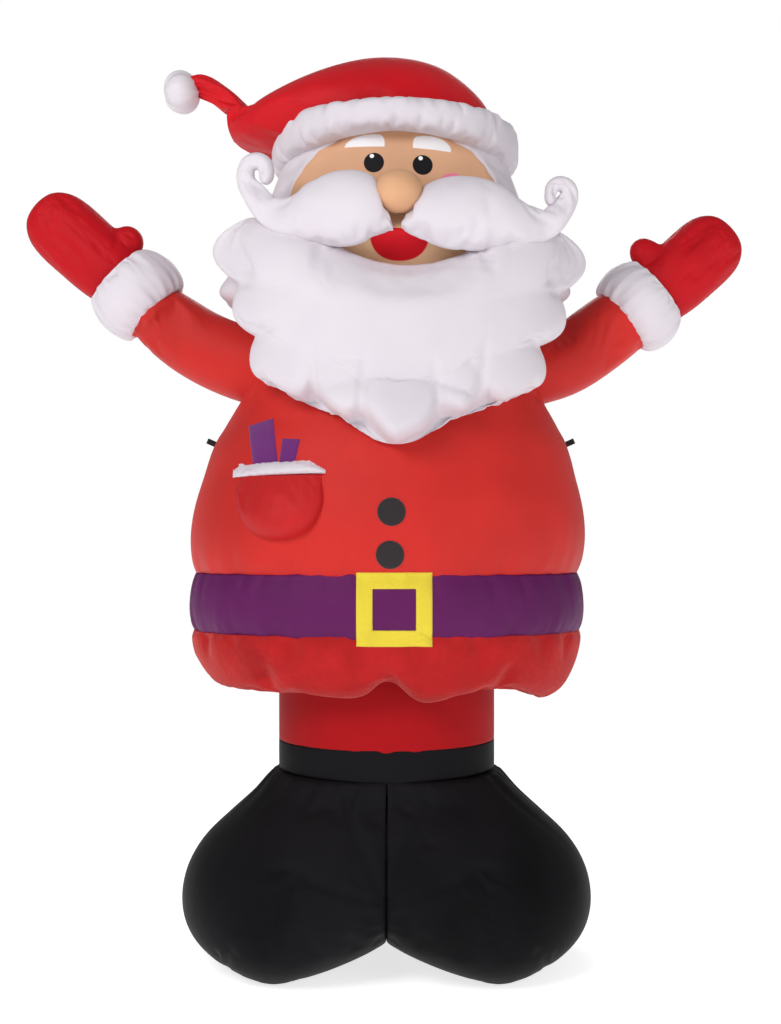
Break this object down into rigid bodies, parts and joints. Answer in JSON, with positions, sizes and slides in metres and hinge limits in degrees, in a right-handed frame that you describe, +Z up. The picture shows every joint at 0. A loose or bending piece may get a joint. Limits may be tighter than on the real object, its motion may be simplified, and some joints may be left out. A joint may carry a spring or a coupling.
{
  "type": "inflatable santa",
  "caption": "Tall inflatable garden santa with raised mittened arms, scalloped beard, curled moustache, bent hat and fat boots.",
  "frame": {"origin": "on the ground under the middle of the figure's outer box", "axes": "+Z up; the figure looks along -Y; its left hand is at +X"},
  "size_m": [2.953, 1.2402, 3.662],
  "materials": {
    "red_nylon": "satin coated polyester",
    "red_plush": "velvety brushed pile",
    "white_nylon": "satin coated polyester",
    "black_nylon": "satin coated polyester",
    "purple_nylon": "satin coated polyester",
    "yellow_felt": "matt felt",
    "skin_nylon": "satin coated polyester",
    "button_felt": "matt felt",
    "black_webbing": "woven webbing"
  },
  "bodies": {
    "root": {"boot_left": "black_nylon", "boot_right": "black_nylon", "boot_band": "black_nylon", "trousers": "red_nylon", "coat_skirt": "red_plush", "belt": "purple_nylon", "belt_buckle": "yellow_felt", "coat": "red_nylon", "button_upper": "button_felt", "button_lower": "button_felt", "pocket": "red_nylon", "pocket_trim": "white_nylon", "gift_stick_tall": "purple_nylon", "gift_stick_short": "purple_nylon", "sleeve_left": "red_nylon", "sleeve_right": "red_nylon", "cuff_left": "white_nylon", "cuff_right": "white_nylon", "mitten_left": "red_nylon", "mitten_right": "red_nylon", "face": "skin_nylon", "hair": "white_nylon", "nose": "skin_nylon", "moustache_left": "white_nylon", "moustache_right": "white_nylon", "beard": "white_nylon", "hat": "red_nylon", "hat_band": "white_nylon", "pompom": "white_nylon", "tether_loop_left": "black_webbing", "tether_loop_right": "black_webbing"}
  },
  "joints": []
}
